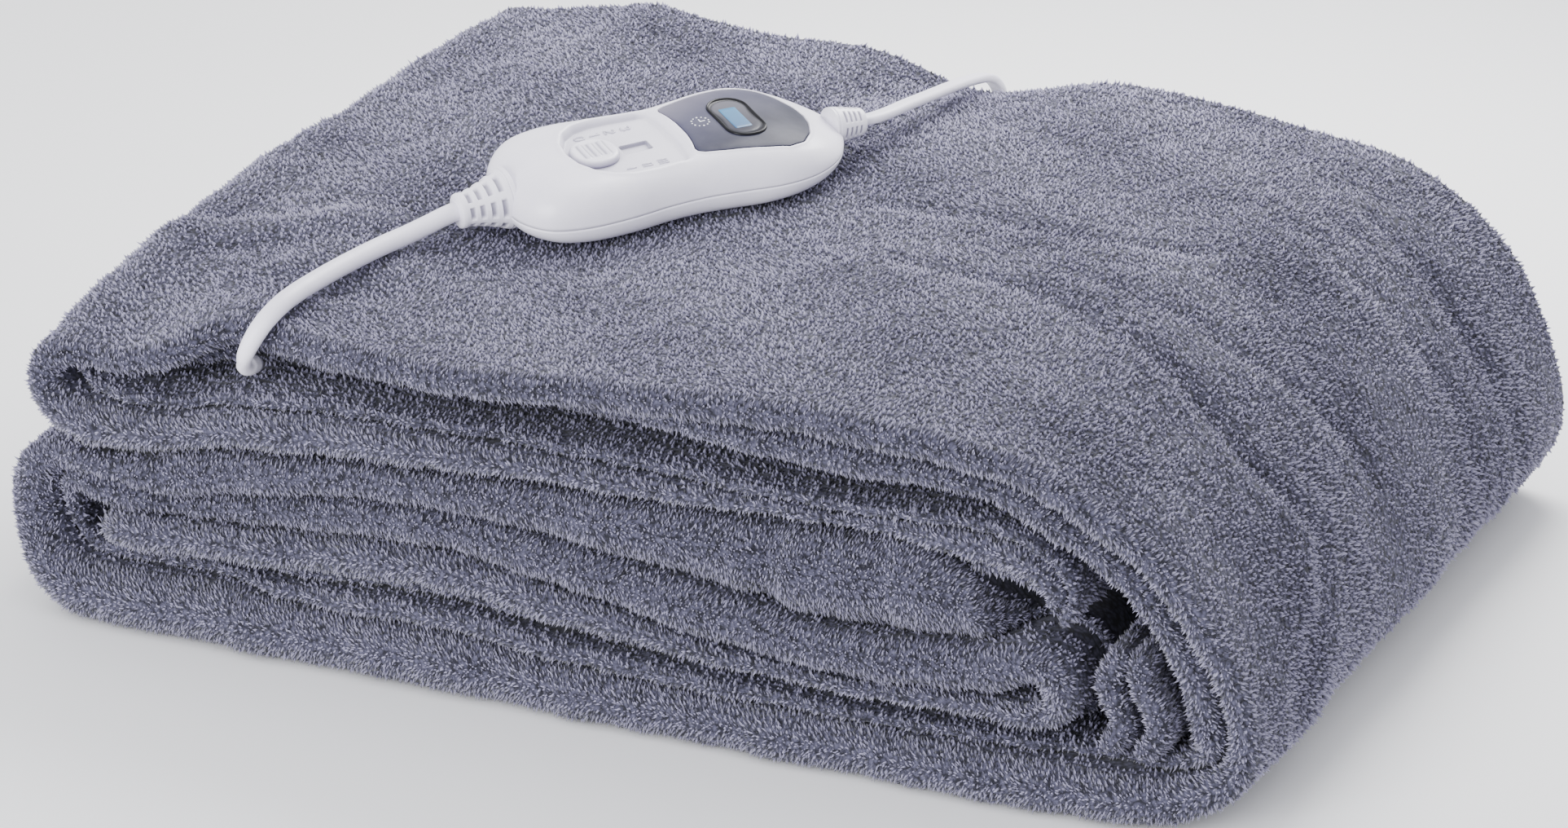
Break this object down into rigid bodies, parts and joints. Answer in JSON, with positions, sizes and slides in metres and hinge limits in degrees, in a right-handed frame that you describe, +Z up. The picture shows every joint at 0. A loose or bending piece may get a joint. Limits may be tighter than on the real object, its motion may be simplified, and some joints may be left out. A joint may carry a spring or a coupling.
{
  "type": "heated blanket",
  "caption": "Fleece heated blanket folded into a rounded stack, with a white hand controller lying on top and its lead wound up behind.",
  "frame": {"origin": "bottom centre of the folded blanket with its controller, on the surface that it lies on", "axes": "+X to the right along the layered front face, +Y away from the viewer to the back, +Z up"},
  "size_m": [0.4738, 0.4701, 0.1575],
  "materials": {
    "fleece": "deep coral fleece pile, grey-blue",
    "white_shell": "semi-gloss white",
    "lower_shell": "satin white",
    "slate": "printed panel, grey to dark blue",
    "bezel": "gloss black",
    "lcd": "lit display window",
    "white_cord": "smooth white cable sheath",
    "pin": "nickel-plated",
    "tie": "black band"
  },
  "bodies": {
    "blanket_and_controller": {"blanket": "fleece", "controller_lower": "lower_shell", "controller_upper": "white_shell", "display_panel": "slate", "display_bezel": "bezel", "display_lcd": "lcd", "relief_lead": "white_cord", "relief_mains": "white_cord", "heater_lead": "white_cord", "mains_lead": "white_cord", "mains_coil": "white_cord", "plug_lead": "white_cord", "plug": "white_cord", "plug_pin_a": "pin", "plug_pin_b": "pin", "coil_tie": "tie"},
    "slider": {"slider_knob": "white_shell"}
  },
  "joints": [
    {"name": "heat_selector", "type": "slide", "parent": "blanket_and_controller", "child": "slider", "axis": [0.6289, 0.7745, 0.0686], "range_m": [0, 0.018]}
  ]
}
